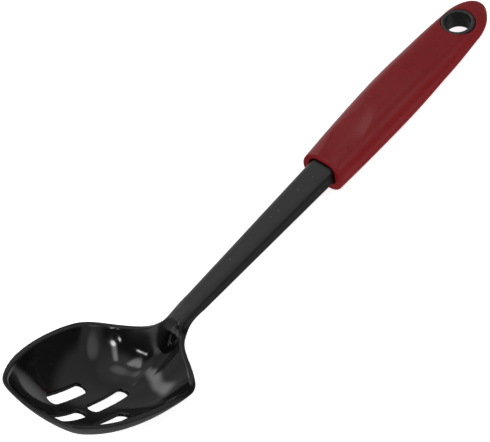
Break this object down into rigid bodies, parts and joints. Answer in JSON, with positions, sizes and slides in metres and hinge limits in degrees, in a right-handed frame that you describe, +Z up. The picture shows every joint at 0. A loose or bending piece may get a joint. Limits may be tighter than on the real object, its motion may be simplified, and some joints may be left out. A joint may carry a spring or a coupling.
{
  "type": "slotted serving spoon",
  "caption": "Slotted serving spoon: a deep glossy black bowl with drain slots on a flat-topped shaft, a rounded red grip with a thumb rest, and a lined hang hole.",
  "frame": {"origin": "bottom centre of the whole spoon's box as it lies on a table, on the lowest point of its bowl and the underside of its grip", "axes": "+X from the tip of the bowl along the handle to the hang hole, +Y across the spoon, +Z up from the table"},
  "size_m": [0.309, 0.0678, 0.0552],
  "materials": {
    "black_nylon": "high gloss inside the bowl, satin on the shaft",
    "red_grip": "satin, dark red, a little dust and handling wear",
    "black_ring": "satin"
  },
  "bodies": {
    "root": {"spoon_head": "black_nylon", "grip_sleeve": "red_grip", "hang_ring": "black_ring"}
  },
  "joints": []
}
